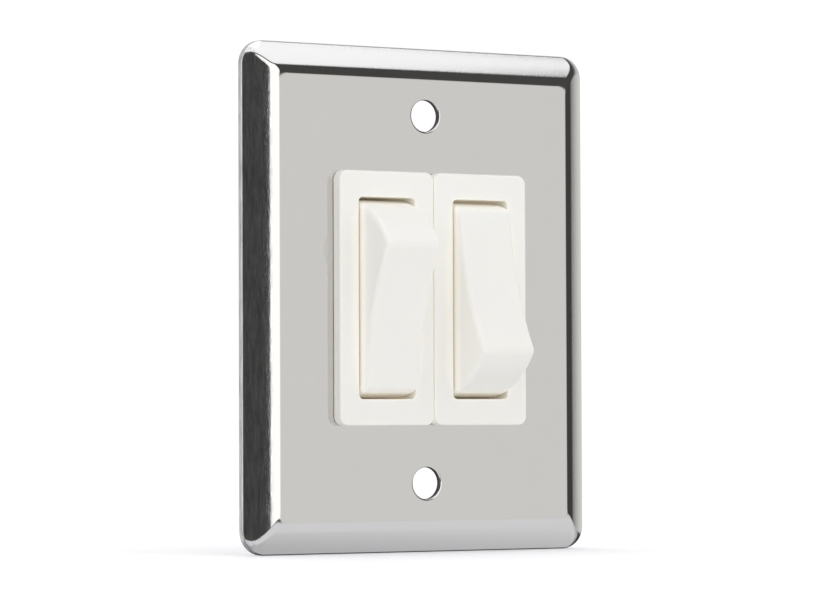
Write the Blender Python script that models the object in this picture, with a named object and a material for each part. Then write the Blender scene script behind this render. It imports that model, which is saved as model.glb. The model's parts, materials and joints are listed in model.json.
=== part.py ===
"""Two-gang rocker wall switch: two snap-in paddle rockers side by side in a stamped chrome plate.

The frame's origin is the centre of the plane that the plate's rim rests on (the wall).
+Z is up, +X is to the right seen from the front, and the rockers face -Y, so +Y goes into the wall.
The left rocker rests with its top end out (off) and the right one with its bottom end out (on).
Lengths are in millimetres, and every mesh is scaled to metres as its object is made.
"""
import math

import bmesh
import bpy
from mathutils import Vector

MM = 0.001

# How far a cutter runs past the surface it opens, and a joined shape into the one it joins.
CUT_PAST = 1.0
JOIN_DEPTH = 0.5

# Facets: of a small corner, a bend, a plate or bezel corner, a full circle and a screw hole.
SMALL_CORNER_STEPS = 3
BEND_STEPS = 4
CORNER_STEPS = 8
CIRCLE_STEPS = 24
SCREW_HOLE_STEPS = 32
SHARP_ANGLE = math.radians(35)

# Wall plate: a stamped sheet whose rim turns back to the wall. Rise is height off the wall.
PLATE_WIDTH = 66.0
PLATE_HEIGHT = 83.0
PLATE_RISE = 4.2
SHEET = 1.0
BEVEL_WIDTH = 5.5
BEVEL_ANGLE = math.radians(33)
BEND_RADIUS = 2.0
EDGE_RADIUS = 0.4
RIM_LAND = 1.0
OUTER_CORNER = 4.0
FACE_CORNER = 1.5
SCREW_SPACING = 60.3
SCREW_HOLE_RADIUS = 2.6
CUTOUT_WIDTH = 34.8
CUTOUT_HEIGHT = 38.6
CUTOUT_CORNER = 0.8
# The cut-out, and the pair of switches in it, sit this far right of the plate's middle.
PAIR_X = 0.3

# Switch: a bezel on the plate, with a hollow body behind it. One switch each side of PAIR_X.
SWITCH_PITCH = 18.1
SEAT_GAP = 0.15
BEZEL_PROUD = 2.2
BEZEL_WIDTH = 18.0
BEZEL_HEIGHT = 41.4
BEZEL_CORNER = 1.5
BEZEL_EDGE = 0.4
WINDOW_WIDTH = 10.7
WINDOW_HEIGHT = 32.8
WINDOW_CORNER = 0.8
BODY_WIDTH = 16.2
BODY_HEIGHT = 38.0
BODY_CORNER = 0.8
BODY_BACK = 13.2
BARB_WIDTH = 9.0
BARB_PROUD = 1.1
BARB_LAND = 1.0
BARB_LENGTH = 8.5

# Rocker: its two crests lie on a circle about the pivot, and its ends are arcs of that circle.
PIVOT_Y = -1.4
ROCKER_WIDTH = 10.3
ROCKER_RADIUS = 16.1
CREST_ANGLE = math.radians(49)
SKIRT_ANGLE = math.radians(100)
CREST_ROUND = 1.0
DISH_DEPTH = 1.4
SIDE_EDGE = 0.45
SIDE_EDGE_SEGMENTS = 2
DISH_STEPS = 12
END_STEPS = 9
END_WALL = 1.2
SIDE_WALL = 1.1
TOP_WALL = 1.4
HOLLOW_SHORT_OF_CREST = math.radians(5)
ROCKER_TILT = math.radians(17)
TRUNNION_RADIUS = 1.5
TRUNNION_SPAN = 13.2
TRUNNION_HOLE_RADIUS = 1.7

# Spring and plunger in the rocker's post. Depths run rearwards from the pivot.
POST_RADIUS = 3.0
POST_DEPTH = 5.1
BORE_RADIUS = 2.15
BORE_END = -6.2
PLUNGER_RADIUS = 1.8
PLUNGER_BACK = 1.8
PLUNGER_TIP = 9.3
PLUNGER_DOME_ANGLE = math.radians(80)
PLUNGER_DOME_STEPS = 5
COIL_RADIUS = 1.55
WIRE_RADIUS = 0.28
WIRE_SIDES = 6
COIL_TURNS = 7
COIL_STEPS = 16
COIL_END_GAP = 0.45

# See-saw contact bar, which rocks on the common terminal's edge the opposite way to the rocker.
FULCRUM_Y = 8.75
BAR_TILT = math.radians(6)
BAR_WIDTH = 5.0
BAR_HEIGHT = 21.2
BAR_FRONT = -0.6
BAR_BACK = 0.2
NOTCH_APEX = -0.1
NOTCH_HALF = 0.5
CONTACT_Z = -8.8
CONTACT_RADIUS = 1.7
CONTACT_THICK = 0.65
CONTACT_GAP = 0.1
SHANK_RADIUS = 0.7
SHANK_HOLE_RADIUS = 0.85
RIVET_HEAD_RADIUS = 1.2
RIVET_HEAD_THICK = 0.35

# Terminals: 6.35 x 0.8 mm push-on blades. The load one is bent to a foot under the fixed contact.
BLADE_WIDTH = 6.35
BLADE_THICK = 0.8
BLADE_TIP_Y = 25.0
BLADE_TAPER = 0.9
BLADE_HOLE_RADIUS = 0.9
BLADE_HOLE_SETBACK = 4.5
FIXED_CONTACT_Y = 10.95
FIXED_CONTACT_THICK = 0.5
FOOT_Y = 11.6
FOOT_TOP_Z = -6.8
FOOT_BOTTOM_Z = -12.2
FOOT_INSET = 0.3
KNIFE_GAP = 0.05
KNIFE_WIDTH = 4.0
KNIFE_SLOPE = math.radians(30)
SHOULDER_Y = 12.9

# Base: closes the body's back and carries the terminals.
PLUG_Y = 12.55
PLUG_GAP = 0.3
FLANGE_THICK = 2.65
SLOT_GAP = 0.15
STOP_Y = 10.25
STOP_Z = 10.5
STOP_SIZE = 2.4
BARRIER_Z = -6.0
BARRIER_THICK = 1.0
BARRIER_DEPTH = 3.0
BARRIER_INSET = 0.9

FACE_Y = -PLATE_RISE
BEZEL_BACK_Y = FACE_Y - SEAT_GAP
BEZEL_FRONT_Y = FACE_Y - BEZEL_PROUD
BASE_FLANGE_Y = BODY_BACK + SEAT_GAP
BASE_BACK_Y = BASE_FLANGE_Y + FLANGE_THICK


# ---------------------------------------------------------------- materials

def make_material(name, color, metallic, roughness):
    material = bpy.data.materials.new(name)
    material.use_nodes = True
    shader = material.node_tree.nodes["Principled BSDF"]
    shader.inputs["Base Color"].default_value = (*color, 1.0)
    shader.inputs["Metallic"].default_value = metallic
    shader.inputs["Roughness"].default_value = roughness
    return material


def make_materials():
    return {
        "chrome": make_material("chrome", (0.72, 0.72, 0.71), 1.0, 0.12),
        "white_nylon": make_material("white_nylon", (0.88, 0.87, 0.84), 0.0, 0.42),
        "black_phenolic": make_material("black_phenolic", (0.03, 0.03, 0.03), 0.0, 0.5),
        "brass": make_material("brass", (0.75, 0.56, 0.25), 1.0, 0.3),
        "copper": make_material("copper", (0.80, 0.45, 0.30), 1.0, 0.3),
        "silver": make_material("silver", (0.85, 0.85, 0.83), 1.0, 0.25),
        "spring_steel": make_material("spring_steel", (0.55, 0.55, 0.56), 1.0, 0.3),
        "acetal": make_material("acetal", (0.80, 0.78, 0.70), 0.0, 0.35),
    }


# ---------------------------------------------------------------- outlines and meshes

def arc(radius, start, end, steps):
    """Points (cos, sin) * radius from one angle to another, both ends included."""
    angles = [start + (end - start) * i / steps for i in range(steps + 1)]
    return [(radius * math.cos(a), radius * math.sin(a)) for a in angles]


def rounded_rectangle(width, height, radius, steps=SMALL_CORNER_STEPS):
    """Closed outline (x, z), counter-clockwise seen from the front."""
    outline = []
    for quarter, (sx, sz) in enumerate(((1, 1), (-1, 1), (-1, -1), (1, -1))):
        start = quarter * math.pi / 2
        for x, z in arc(radius, start, start + math.pi / 2, steps):
            outline.append((sx * (width / 2 - radius) + x, sz * (height / 2 - radius) + z))
    return outline


def circle(radius, steps=CIRCLE_STEPS):
    return arc(radius, 0, 2 * math.pi * (1 - 1 / steps), steps - 1)


def fillet(before, corner, after, radius, steps):
    """Points that round one corner of an outline."""
    corner = Vector(corner)
    back = (Vector(before) - corner).normalized()
    ahead = (Vector(after) - corner).normalized()
    half = back.angle(ahead) / 2
    centre = corner + (back + ahead).normalized() * radius / math.sin(half)
    start = corner + back * radius / math.tan(half) - centre
    end = corner + ahead * radius / math.tan(half) - centre
    spokes = [start.slerp(end, i / steps) * radius for i in range(steps + 1)]
    return [tuple(centre + spoke) for spoke in spokes]


def loft(rings, closed=False):
    """Skin between rings of equally many (x, y, z) points, capped unless the rings form a loop."""
    mesh = bmesh.new()
    loops = [[mesh.verts.new(point) for point in ring] for ring in rings]
    pairs = list(zip(loops, loops[1:]))
    if closed:
        pairs.append((loops[-1], loops[0]))
    else:
        mesh.faces.new(loops[0])
        mesh.faces.new(loops[-1])
    for first, second in pairs:
        for i, vert in enumerate(first):
            j = (i + 1) % len(first)
            mesh.faces.new((vert, first[j], second[j], second[i]))
    bmesh.ops.recalc_face_normals(mesh, faces=mesh.faces)
    return mesh


def prism_y(outline, y_front, y_back):
    """An (x, z) outline extruded along Y."""
    return loft([[(x, y, z) for x, z in outline] for y in (y_front, y_back)])


def prism_x(outline, x_left, x_right):
    """A (y, z) outline extruded along X."""
    return loft([[(x, y, z) for y, z in outline] for x in (x_left, x_right)])


def prism_z(outline, z_low, z_high):
    """An (x, y) outline extruded along Z."""
    return loft([[(x, y, z) for x, y in outline] for z in (z_low, z_high)])


def turned_y(profile, centre_z=0.0, steps=CIRCLE_STEPS):
    """A solid turned about the Y axis, from (y, radius) points between its two flat ends."""
    rings = [[(x, y, centre_z + z) for x, z in circle(radius, steps)] for y, radius in profile]
    return loft(rings)


def box(x_range, y_range, z_range):
    (x0, x1), (y0, y1), (z0, z1) = x_range, y_range, z_range
    return prism_y([(x0, z0), (x1, z0), (x1, z1), (x0, z1)], y0, y1)


def add_object(name, mesh, material=None, location=(0, 0, 0), tilt=0.0, parent=None):
    """One object from a mesh in millimetres. Tilt turns it about its own X axis."""
    bmesh.ops.scale(mesh, vec=(MM, MM, MM), verts=mesh.verts)
    data = bpy.data.meshes.new(name)
    mesh.to_mesh(data)
    mesh.free()
    data.shade_smooth()
    data.set_sharp_from_angle(angle=SHARP_ANGLE)
    obj = bpy.data.objects.new(name, data)
    bpy.context.scene.collection.objects.link(obj)
    obj.location = [value * MM for value in location]
    obj.rotation_euler.x = tilt
    obj.parent = parent
    if material:
        data.materials.append(material)
    return obj


def combine(target, name, mesh, operation):
    """Join a shape to an object, or cut it away, by a Boolean with a hidden helper."""
    helper = add_object(f"{target.name}_{name}", mesh, parent=target)
    helper.hide_render = True
    helper.display_type = "WIRE"
    modifier = target.modifiers.new(name, "BOOLEAN")
    modifier.operation = operation
    modifier.solver = "EXACT"
    modifier.object = helper


# ---------------------------------------------------------------- wall plate

def plate_ring(inset, rise):
    """The plate's outline at one point of its bevel: its corners tighten towards the face."""
    corner = OUTER_CORNER + (FACE_CORNER - OUTER_CORNER) * inset / BEVEL_WIDTH
    outline = rounded_rectangle(
        PLATE_WIDTH - 2 * inset, PLATE_HEIGHT - 2 * inset, corner, CORNER_STEPS
    )
    return [(x, -rise, z) for x, z in outline]


def bevel_profile():
    """(inset, rise) points of the rim, from the front face over the bevel and back inside."""
    bend_centre = Vector((BEVEL_WIDTH, PLATE_RISE - BEND_RADIUS))
    bend_inset = BEVEL_WIDTH - BEND_RADIUS * math.sin(BEVEL_ANGLE)
    bend_rise = PLATE_RISE - BEND_RADIUS * (1 - math.cos(BEVEL_ANGLE))
    edge_rise = bend_rise - bend_inset * math.tan(BEVEL_ANGLE)
    flat, sloped = math.pi / 2, math.pi / 2 + BEVEL_ANGLE
    outer_bend = arc(BEND_RADIUS, flat, sloped, BEND_STEPS)
    inner_bend = arc(BEND_RADIUS - SHEET, sloped, flat, BEND_STEPS)
    land_rise = edge_rise - SHEET / math.cos(BEVEL_ANGLE) + RIM_LAND * math.tan(BEVEL_ANGLE)
    front = [tuple(bend_centre + Vector(point)) for point in outer_bend]
    edge = fillet(front[-1], (0.0, edge_rise), (0.0, 0.0), EDGE_RADIUS, SMALL_CORNER_STEPS)
    foot = [(0.0, 0.0), (RIM_LAND, 0.0), (RIM_LAND, land_rise)]
    back = [tuple(bend_centre + Vector(point)) for point in inner_bend]
    return front + edge + foot + back


def make_face_plate(materials):
    rings = [plate_ring(inset, rise) for inset, rise in bevel_profile()]
    plate = add_object("face_plate", loft(rings), materials["chrome"])
    front, back = FACE_Y - CUT_PAST, FACE_Y + SHEET + CUT_PAST
    outline = rounded_rectangle(CUTOUT_WIDTH, CUTOUT_HEIGHT, CUTOUT_CORNER)
    cutout = [(PAIR_X + x, z) for x, z in outline]
    combine(plate, "switch_cutout", prism_y(cutout, front, back), "DIFFERENCE")
    for name, z in (("top_hole", SCREW_SPACING / 2), ("bottom_hole", -SCREW_SPACING / 2)):
        profile = [(front, SCREW_HOLE_RADIUS), (back, SCREW_HOLE_RADIUS)]
        combine(plate, name, turned_y(profile, z, SCREW_HOLE_STEPS), "DIFFERENCE")


# ---------------------------------------------------------------- one switch

def make_bezel_housing(side, x, materials):
    """The bezel, with its rounded front edge, and the hollow body that snaps into the plate."""
    profile = [(BEZEL_BACK_Y, 0.0)]
    for across, up in arc(BEZEL_EDGE, 0, math.pi / 2, SMALL_CORNER_STEPS):
        profile.append((BEZEL_FRONT_Y + BEZEL_EDGE - up, BEZEL_EDGE - across))
    rings = []
    for y, inset in profile:
        outline = rounded_rectangle(
            BEZEL_WIDTH - 2 * inset, BEZEL_HEIGHT - 2 * inset, BEZEL_CORNER - inset,
            CORNER_STEPS,
        )
        rings.append([(px, y, pz) for px, pz in outline])
    housing = add_object(
        f"{side}_bezel_housing", loft(rings), materials["white_nylon"], (x, 0, 0)
    )
    body = rounded_rectangle(BODY_WIDTH, BODY_HEIGHT, BODY_CORNER)
    combine(housing, "body", prism_y(body, BEZEL_BACK_Y - JOIN_DEPTH, BODY_BACK), "UNION")
    barb_y = FACE_Y + SHEET + 2 * SEAT_GAP
    for name, sign in (("top_barb", 1), ("bottom_barb", -1)):
        root = sign * (BODY_HEIGHT / 2 - JOIN_DEPTH)
        crest = sign * (BODY_HEIGHT / 2 + BARB_PROUD)
        barb = [
            (barb_y, root), (barb_y, crest), (barb_y + BARB_LAND, crest),
            (barb_y + BARB_LENGTH, root),
        ]
        combine(housing, name, prism_x(barb, -BARB_WIDTH / 2, BARB_WIDTH / 2), "UNION")
    window = prism_y(
        rounded_rectangle(WINDOW_WIDTH, WINDOW_HEIGHT, WINDOW_CORNER),
        BEZEL_FRONT_Y - CUT_PAST, BODY_BACK + CUT_PAST,
    )
    combine(housing, "window", window, "DIFFERENCE")
    bearing = [(PIVOT_Y + py, pz) for py, pz in circle(TRUNNION_HOLE_RADIUS)]
    reach = BODY_WIDTH / 2 + CUT_PAST
    combine(housing, "bearing", prism_x(bearing, -reach, reach), "DIFFERENCE")


def dish_curve(offset, half_height, steps):
    """The rocker's concave front, moved rearwards by offset: (y, z) points from top to bottom."""
    crest_y = -ROCKER_RADIUS * math.cos(CREST_ANGLE)
    crest_z = ROCKER_RADIUS * math.sin(CREST_ANGLE)
    radius = (crest_z**2 + DISH_DEPTH**2) / (2 * DISH_DEPTH)
    centre_y = crest_y + DISH_DEPTH - radius
    points = []
    for i in range(steps + 1):
        z = half_height * (1 - 2 * i / steps)
        points.append((centre_y + math.sqrt((radius + offset) ** 2 - z**2), z))
    return points


def end_arc(radius, start, end, steps):
    """Points (y, z) of the rocker's upper end; angles run from its front axis."""
    return [(-c, s) for c, s in arc(radius, start, end, steps)]


def mirrored(points):
    return [(y, -z) for y, z in reversed(points)]


def rocker_outline():
    """Side outline (y, z): skirts, end arcs, rounded crests and the dished front."""
    crest_z = ROCKER_RADIUS * math.sin(CREST_ANGLE)
    dish = dish_curve(0.0, crest_z, DISH_STEPS)
    end = end_arc(ROCKER_RADIUS, SKIRT_ANGLE, CREST_ANGLE, END_STEPS)
    crest = fillet(end[-2], end[-1], dish[1], CREST_ROUND, BEND_STEPS)
    top_end = end[:-1] + crest
    return top_end + dish[1:-1] + mirrored(top_end)


def rocker_hollow():
    """Side outline of the space inside the rocker's walls, open at the back."""
    half = ROCKER_RADIUS * math.sin(CREST_ANGLE) - TOP_WALL
    inner = ROCKER_RADIUS - END_WALL
    wall = end_arc(inner, SKIRT_ANGLE, CREST_ANGLE + HOLLOW_SHORT_OF_CREST, END_STEPS)
    open_end = [(wall[0][0] + CUT_PAST, wall[0][1])]
    top_end = open_end + wall
    return top_end + dish_curve(TOP_WALL, half, DISH_STEPS) + mirrored(top_end)


def make_rocker(side, x, tilt, materials):
    """A hollow paddle with two trunnions and a bored post; its origin is on the pivot axis."""
    half = ROCKER_WIDTH / 2
    shell = prism_x(rocker_outline(), -half, half)
    side_edges = [e for e in shell.edges if e.verts[0].co.x == e.verts[1].co.x]
    bmesh.ops.bevel(shell, geom=side_edges, offset=SIDE_EDGE, segments=SIDE_EDGE_SEGMENTS,
                    profile=0.5, affect="EDGES")
    rocker = add_object(
        f"{side}_rocker", shell, materials["white_nylon"], (x, PIVOT_Y, 0), tilt
    )
    inside = half - SIDE_WALL
    combine(rocker, "hollow", prism_x(rocker_hollow(), -inside, inside), "DIFFERENCE")
    mid_wall = DISH_DEPTH + TOP_WALL / 2 - ROCKER_RADIUS * math.cos(CREST_ANGLE)
    post = turned_y([(mid_wall, POST_RADIUS), (POST_DEPTH, POST_RADIUS)])
    combine(rocker, "post", post, "UNION")
    bore = turned_y([(BORE_END, BORE_RADIUS), (POST_DEPTH + CUT_PAST, BORE_RADIUS)])
    combine(rocker, "bore", bore, "DIFFERENCE")
    pin = circle(TRUNNION_RADIUS)
    root, reach = half - JOIN_DEPTH, TRUNNION_SPAN / 2
    combine(rocker, "left_trunnion", prism_x(pin, -reach, -root), "UNION")
    combine(rocker, "right_trunnion", prism_x(pin, root, reach), "UNION")
    return rocker


def make_plunger(side, rocker, materials):
    """A bullet that slides in the rocker's bore, round at the end that rides on the bar."""
    quarter = arc(PLUNGER_RADIUS, 0, PLUNGER_DOME_ANGLE, PLUNGER_DOME_STEPS)
    dome = [(PLUNGER_TIP - PLUNGER_RADIUS + up, across) for across, up in quarter]
    plunger = turned_y([(PLUNGER_BACK, PLUNGER_RADIUS)] + dome)
    add_object(f"{side}_plunger", plunger, materials["acetal"], parent=rocker)


def make_spring(side, rocker, materials):
    """A coil of round wire in the bore, from the bore's end to the plunger's back."""
    first = BORE_END + COIL_END_GAP
    length = PLUNGER_BACK - COIL_END_GAP - first
    count = COIL_TURNS * COIL_STEPS
    pitch = length / COIL_TURNS
    rings = []
    for i in range(count + 1):
        angle = 2 * math.pi * i / COIL_STEPS
        outward = Vector((math.cos(angle), 0, math.sin(angle)))
        along = Vector((-math.sin(angle) * COIL_RADIUS, pitch / (2 * math.pi),
                        math.cos(angle) * COIL_RADIUS)).normalized()
        side_way = along.cross(outward)
        centre = outward * COIL_RADIUS + Vector((0, first + length * i / count, 0))
        section = circle(WIRE_RADIUS, WIRE_SIDES)
        rings.append([centre + outward * c + side_way * s for c, s in section])
    add_object(f"{side}_spring", loft(rings), materials["spring_steel"], parent=rocker)


def rivet_hole(front, back):
    """Cutter for a contact rivet's shank, through a strip between two depths."""
    ends = (front - CUT_PAST, back + CUT_PAST)
    return turned_y([(y, SHANK_HOLE_RADIUS) for y in ends], CONTACT_Z)


def make_contact_bar(side, x, tilt, materials):
    """The see-saw bar, notched at the back where it sits on the common terminal's edge."""
    half = BAR_HEIGHT / 2
    outline = [
        (BAR_FRONT, -half), (BAR_BACK, -half), (BAR_BACK, -NOTCH_HALF), (NOTCH_APEX, 0),
        (BAR_BACK, NOTCH_HALF), (BAR_BACK, half), (BAR_FRONT, half),
    ]
    bar = add_object(
        f"{side}_contact_bar", prism_x(outline, -BAR_WIDTH / 2, BAR_WIDTH / 2),
        materials["copper"], (x, FULCRUM_Y, 0), tilt,
    )
    combine(bar, "rivet_hole", rivet_hole(BAR_FRONT, BAR_BACK), "DIFFERENCE")
    return bar


def make_moving_contact(side, bar, materials):
    """A silver rivet through the bar's lower end, with its contact face at the back."""
    face_y = BAR_BACK + CONTACT_GAP
    head_y = BAR_FRONT - CONTACT_GAP
    profile = [
        (head_y - RIVET_HEAD_THICK, RIVET_HEAD_RADIUS), (head_y, RIVET_HEAD_RADIUS),
        (head_y, SHANK_RADIUS), (face_y, SHANK_RADIUS), (face_y, CONTACT_RADIUS),
        (face_y + CONTACT_THICK, CONTACT_RADIUS),
    ]
    rivet = turned_y(profile, CONTACT_Z)
    add_object(f"{side}_moving_contact", rivet, materials["silver"], parent=bar)


def make_fixed_contact(side, x, materials):
    """A silver rivet in the load terminal's foot, facing the moving contact."""
    back_y = FIXED_CONTACT_Y + FIXED_CONTACT_THICK
    profile = [
        (FIXED_CONTACT_Y, CONTACT_RADIUS), (back_y, CONTACT_RADIUS),
        (back_y, SHANK_RADIUS), (FOOT_Y + BLADE_THICK, SHANK_RADIUS),
    ]
    rivet = turned_y(profile, CONTACT_Z)
    add_object(f"{side}_fixed_contact", rivet, materials["silver"], (x, 0, 0))


def blade_outline(start):
    """Flat blade (x, y), from its inner end to its tapered tip."""
    half = BLADE_WIDTH / 2
    tip = half - BLADE_TAPER
    return start + [
        (half, BLADE_TIP_Y - BLADE_TAPER), (tip, BLADE_TIP_Y),
        (-tip, BLADE_TIP_Y), (-half, BLADE_TIP_Y - BLADE_TAPER),
    ]


def blade_hole(z):
    """Cutter for the dimple hole that a push-on connector latches in."""
    centre_y = BLADE_TIP_Y - BLADE_HOLE_SETBACK
    outline = [(hx, centre_y + hy) for hx, hy in circle(BLADE_HOLE_RADIUS)]
    return prism_z(outline, z - BLADE_THICK, z + BLADE_THICK)


def make_load_terminal(side, x, materials):
    half = BLADE_WIDTH / 2
    outline = blade_outline([(-half, FOOT_Y), (half, FOOT_Y)])
    top = FOOT_BOTTOM_Z + BLADE_THICK
    terminal = add_object(
        f"{side}_load_terminal", prism_z(outline, FOOT_BOTTOM_Z, top), materials["brass"],
        (x, 0, 0),
    )
    foot_half = half - FOOT_INSET
    foot_back = FOOT_Y + BLADE_THICK
    foot = box((-foot_half, foot_half), (FOOT_Y, foot_back),
               (FOOT_BOTTOM_Z + BLADE_THICK / 2, FOOT_TOP_Z))
    combine(terminal, "foot", foot, "UNION")
    combine(terminal, "rivet_hole", rivet_hole(FOOT_Y, foot_back), "DIFFERENCE")
    combine(terminal, "latch_hole", blade_hole(top - BLADE_THICK / 2), "DIFFERENCE")


def make_common_terminal(side, x, materials):
    """A straight blade whose narrow inner end is sharpened to the edge that the bar rocks on."""
    half = BLADE_WIDTH / 2
    knife = KNIFE_WIDTH / 2
    knife_y = FULCRUM_Y + KNIFE_GAP
    outline = blade_outline([
        (-half, SHOULDER_Y), (-knife, SHOULDER_Y), (-knife, knife_y),
        (knife, knife_y), (knife, SHOULDER_Y), (half, SHOULDER_Y),
    ])
    thick = BLADE_THICK / 2
    terminal = add_object(
        f"{side}_common_terminal", prism_z(outline, -thick, thick), materials["brass"],
        (x, 0, 0),
    )
    clear = thick + CUT_PAST
    slope_end = knife_y + clear / math.tan(KNIFE_SLOPE)
    for name, sign in (("upper_flank", 1), ("lower_flank", -1)):
        flank = [
            (knife_y - CUT_PAST, 0), (knife_y, 0), (slope_end, sign * clear),
            (knife_y - CUT_PAST, sign * clear),
        ]
        combine(terminal, name, prism_x(flank, -half, half), "DIFFERENCE")
    combine(terminal, "latch_hole", blade_hole(0.0), "DIFFERENCE")


def make_base(side, x, materials):
    """The block that closes the body: a plug, a flange, the bar's stop and a rear barrier."""
    flange = rounded_rectangle(BODY_WIDTH, BODY_HEIGHT, BODY_CORNER)
    base = add_object(
        f"{side}_base", prism_y(flange, BASE_FLANGE_Y, BASE_BACK_Y),
        materials["black_phenolic"], (x, 0, 0),
    )
    plug = rounded_rectangle(
        WINDOW_WIDTH - 2 * PLUG_GAP, WINDOW_HEIGHT - 2 * PLUG_GAP, WINDOW_CORNER
    )
    combine(base, "plug", prism_y(plug, PLUG_Y, BASE_FLANGE_Y + JOIN_DEPTH), "UNION")
    reach = STOP_SIZE / 2
    stop = box((-reach, reach), (STOP_Y, PLUG_Y + JOIN_DEPTH),
               (STOP_Z - reach, STOP_Z + reach))
    combine(base, "bar_stop", stop, "UNION")
    wide = BODY_WIDTH / 2 - BARRIER_INSET
    barrier = box((-wide, wide), (BASE_BACK_Y - JOIN_DEPTH, BASE_BACK_Y + BARRIER_DEPTH),
                  (BARRIER_Z - BARRIER_THICK / 2, BARRIER_Z + BARRIER_THICK / 2))
    combine(base, "barrier", barrier, "UNION")
    half = BLADE_WIDTH / 2 + SLOT_GAP
    slot_reach = BLADE_THICK / 2 + SLOT_GAP
    load_z = FOOT_BOTTOM_Z + BLADE_THICK / 2
    for name, z in (("common_slot", 0.0), ("load_slot", load_z)):
        slot = box((-half, half), (PLUG_Y - CUT_PAST, BASE_BACK_Y + CUT_PAST),
                   (z - slot_reach, z + slot_reach))
        combine(base, name, slot, "DIFFERENCE")


def make_switch(side, x, tilt_sign, materials):
    """One complete switch; tilt_sign is +1 with the rocker's top end out, -1 with its bottom out."""
    make_bezel_housing(side, x, materials)
    rocker = make_rocker(side, x, tilt_sign * ROCKER_TILT, materials)
    make_spring(side, rocker, materials)
    make_plunger(side, rocker, materials)
    bar = make_contact_bar(side, x, -tilt_sign * BAR_TILT, materials)
    make_moving_contact(side, bar, materials)
    make_fixed_contact(side, x, materials)
    make_load_terminal(side, x, materials)
    make_common_terminal(side, x, materials)
    make_base(side, x, materials)


def main():
    for obj in list(bpy.data.objects):
        bpy.data.objects.remove(obj, do_unlink=True)
    materials = make_materials()
    make_face_plate(materials)
    make_switch("left", PAIR_X - SWITCH_PITCH / 2, 1, materials)
    make_switch("right", PAIR_X + SWITCH_PITCH / 2, -1, materials)


main()
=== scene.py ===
"""Looks of the two-gang rocker wall switch: fine surfaces, materials, studio and camera.

Shapes are worked out in millimetres, in the frame's own axes: +Z up, the rockers facing -Y.
"""
import json
import math

import bmesh
import bpy
from mathutils import Matrix, Vector


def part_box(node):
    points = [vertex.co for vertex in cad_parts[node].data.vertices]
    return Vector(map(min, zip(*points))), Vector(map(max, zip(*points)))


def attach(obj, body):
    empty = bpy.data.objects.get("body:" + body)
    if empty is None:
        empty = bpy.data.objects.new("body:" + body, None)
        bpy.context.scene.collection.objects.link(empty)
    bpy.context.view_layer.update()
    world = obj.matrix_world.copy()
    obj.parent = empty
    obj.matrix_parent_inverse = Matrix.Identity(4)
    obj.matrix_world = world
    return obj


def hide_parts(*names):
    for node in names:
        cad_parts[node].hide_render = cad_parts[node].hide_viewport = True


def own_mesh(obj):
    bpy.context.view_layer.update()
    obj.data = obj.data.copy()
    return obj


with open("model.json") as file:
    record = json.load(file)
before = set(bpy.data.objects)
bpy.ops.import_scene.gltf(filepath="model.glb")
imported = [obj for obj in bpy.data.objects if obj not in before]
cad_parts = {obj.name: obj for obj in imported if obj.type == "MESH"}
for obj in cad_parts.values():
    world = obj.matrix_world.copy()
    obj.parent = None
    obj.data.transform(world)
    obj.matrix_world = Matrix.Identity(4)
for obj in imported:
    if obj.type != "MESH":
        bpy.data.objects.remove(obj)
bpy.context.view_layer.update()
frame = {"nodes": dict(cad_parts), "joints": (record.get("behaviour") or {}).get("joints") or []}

MM = 0.001

# Facets of fine surfaces
CORNER_STEPS = 14
EDGE_STEPS = 6
CIRCLE_STEPS = 64
SHARP_ANGLE = math.radians(32)
# Width of the flat strip beside a rounded edge, which keeps the flat's shading flat
FLAT_STRIP = 0.03
CUT_PAST = 1.0
JOIN_DEPTH = 0.5

# Wall plate: the bevel turns quickly at its shoulder, and then slowly down to the lip
SHEET = 1.0
BEVEL_WIDTH = 5.7
SHOULDER_WIDTH = 2.3
SHOULDER_TILT = math.radians(31)
LIP_TILT = math.radians(37)
BEVEL_STEPS = 40
LIP_ROUND = 0.55
RIM_LAND = 1.0
FOOT_ROUND = 0.12
OUTER_CORNER = 4.0
FOLD_CORNER = 0.6
FACE_CORNER = 2.0
CUTOUT_WIDTH = 34.8
CUTOUT_HEIGHT = 38.6
CUTOUT_CORNER = 0.8
SCREW_SPACING = 60.3
SCREW_HOLE_RADIUS = 2.6
HOLE_ROUND = 0.3
HOLE_BURR = 0.08
HOLE_MASK_BLUR = 0.1

# Bezel housing
SEAT_GAP = 0.15
BEZEL_CORNER = 1.5
BEZEL_EDGE = 0.42
WINDOW_WIDTH = 10.7
WINDOW_HEIGHT = 32.8
WINDOW_CORNER = 0.8
WINDOW_EDGE = 0.28
BODY_WIDTH = 16.2
BODY_HEIGHT = 38.0
BODY_CORNER = 0.8
BODY_EDGE = 0.12
BARB_WIDTH = 9.0
BARB_PROUD = 1.1
BARB_LAND = 1.0
BARB_LENGTH = 8.5
BEARING_RADIUS = 1.7

# Rocker, about its own pivot
ROCKER_WIDTH = 10.3
ROCKER_RADIUS = 16.1
CREST_ANGLE = math.radians(49)
SKIRT_ANGLE = math.radians(100)
CREST_ROUND = 1.4
CREST_STEPS = 8
# Points that the rounded crest takes from the end of each curve that meets there
CREST_REACH = 3
DISH_DEPTH = 1.4
SIDE_EDGE = 0.8
END_WALL = 1.2
SIDE_WALL = 1.1
TOP_WALL = 1.4
HOLLOW_SHORT_OF_CREST = math.radians(5)
ROCKER_TILT = math.radians(17)
DISH_STEPS = 40
END_STEPS = 28
HOLLOW_STEPS = 12
TRUNNION_RADIUS = 1.5
TRUNNION_SPAN = 13.2
POST_RADIUS = 3.0
POST_DEPTH = 5.1
BORE_RADIUS = 2.15
BORE_END = -6.2

# Coil spring in the post, between the bore's end and the plunger's back
PLUNGER_BACK = 1.8
COIL_RADIUS = 1.55
WIRE_RADIUS = 0.28
WIRE_SIDES = 12
COIL_TURNS = 7
COIL_STEPS = 36
COIL_END_GAP = 0.45

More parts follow.
